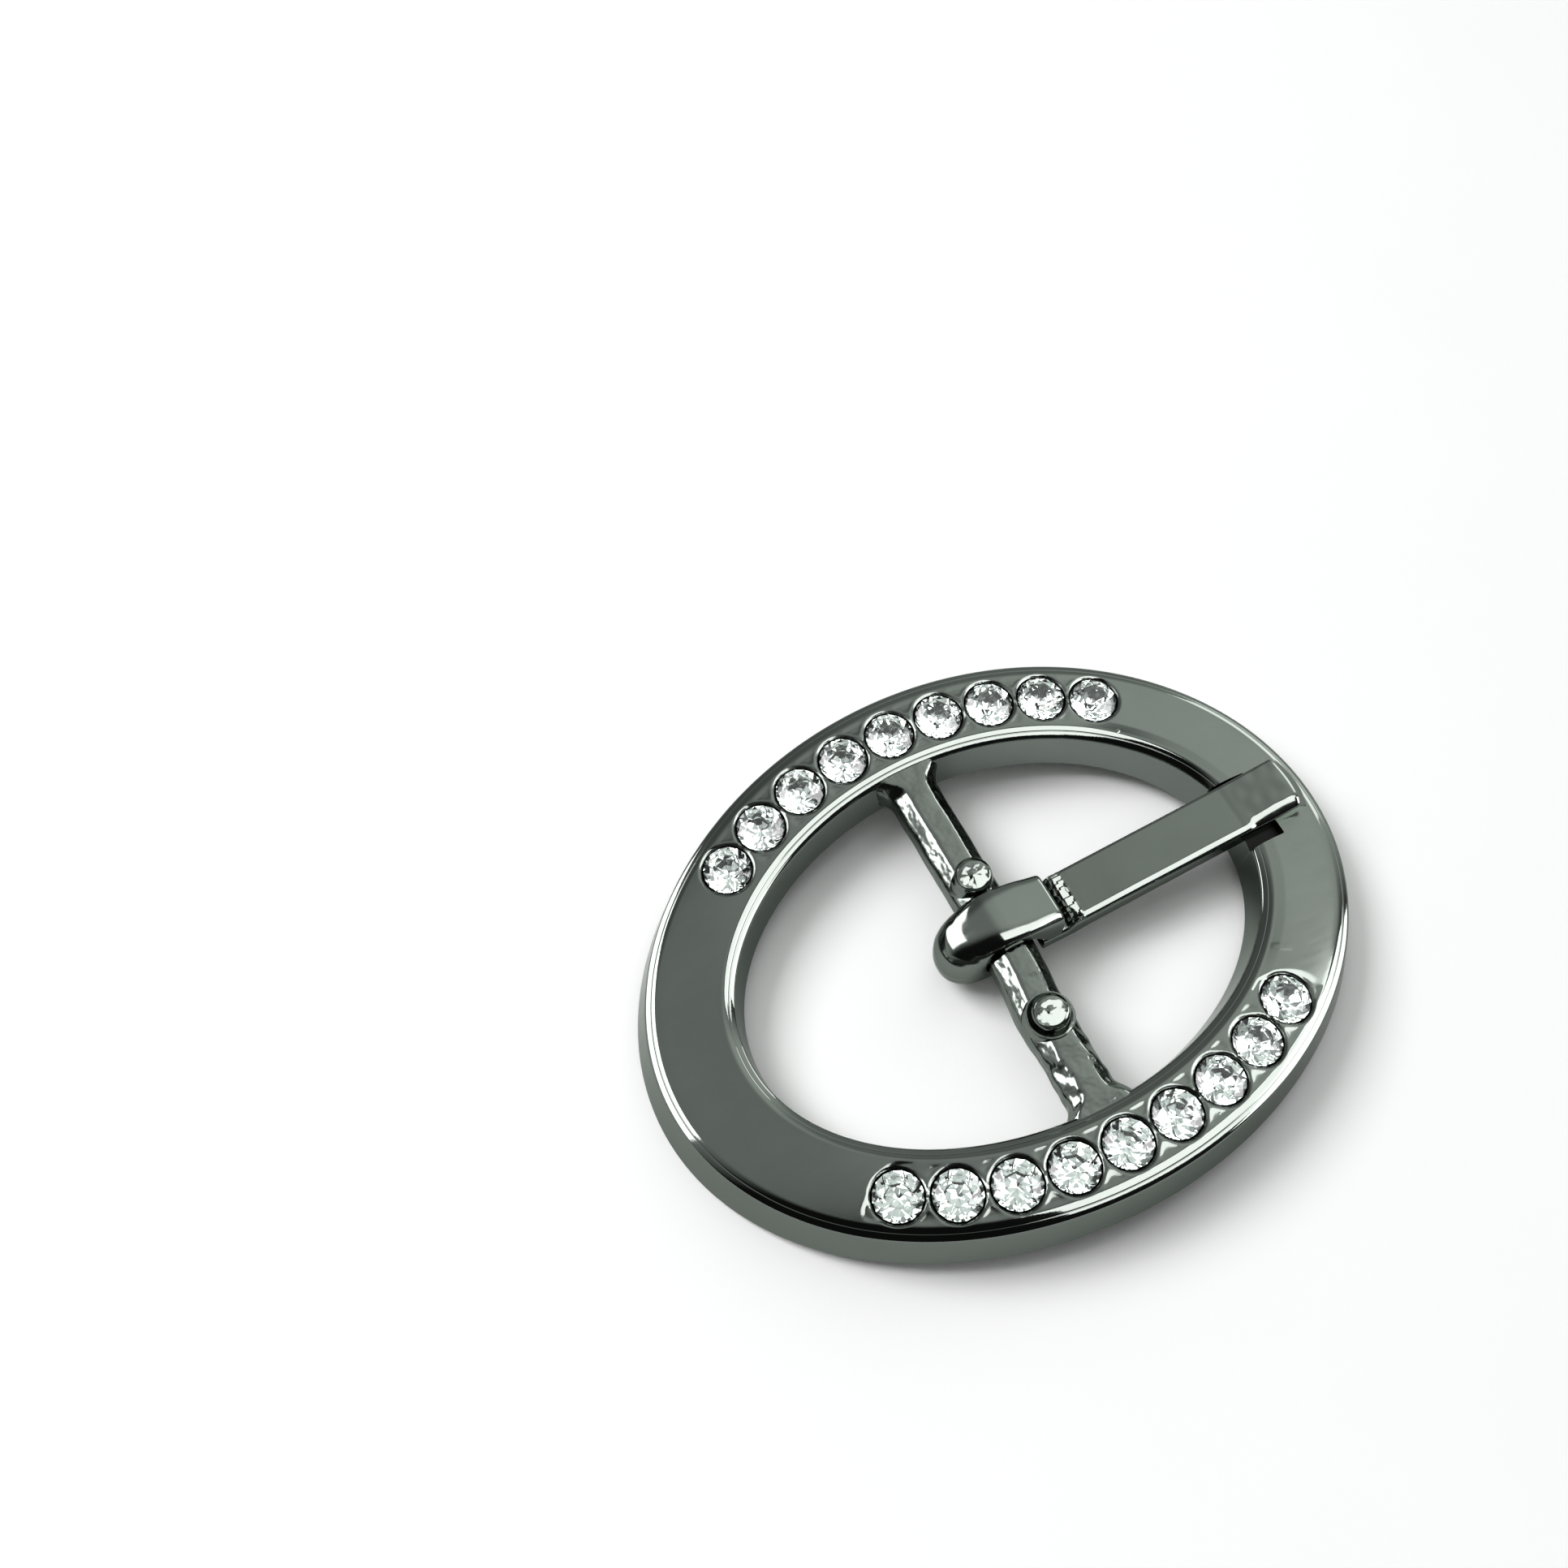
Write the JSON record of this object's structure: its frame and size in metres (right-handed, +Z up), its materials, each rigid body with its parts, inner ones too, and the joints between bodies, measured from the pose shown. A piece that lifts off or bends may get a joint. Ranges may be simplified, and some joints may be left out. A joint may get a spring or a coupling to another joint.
{
  "type": "belt buckle",
  "caption": "Oval centre-bar belt buckle, curved to the waist, with a hinged prong resting in a notch and rows of round clear stones set along its sides",
  "frame": {"origin": "on the table under the middle of the oval ring, level with the lowest edges of its two bent ends", "axes": "+X along the prong towards its tip, +Y along the bar, +Z up out of the face with the stones"},
  "size_m": [0.0392, 0.0302, 0.0055],
  "materials": {
    "frame_metal": "satin gunmetal plating on die-cast zinc, polished rims",
    "prong_metal": "satin gunmetal plating on die-cast zinc",
    "stone_glass": "clear cut lead glass with a silvered back"
  },
  "bodies": {
    "ring": {"frame": "frame_metal", "stone_far_1": "stone_glass", "stone_far_2": "stone_glass", "stone_far_3": "stone_glass", "stone_far_4": "stone_glass", "stone_far_5": "stone_glass", "stone_far_6": "stone_glass", "stone_far_7": "stone_glass", "stone_far_8": "stone_glass", "stone_far_9": "stone_glass", "stone_near_1": "stone_glass", "stone_near_2": "stone_glass", "stone_near_3": "stone_glass", "stone_near_4": "stone_glass", "stone_near_5": "stone_glass", "stone_near_6": "stone_glass", "stone_near_7": "stone_glass", "stone_near_8": "stone_glass", "stone_near_9": "stone_glass"},
    "prong_arm": {"prong": "prong_metal"}
  },
  "joints": [
    {"name": "prong_hinge", "type": "hinge", "parent": "ring", "child": "prong_arm", "pos_m": [0, 0.00035, 0.00302], "axis": [0, -1, 0], "range_deg": [0, 160]}
  ]
}
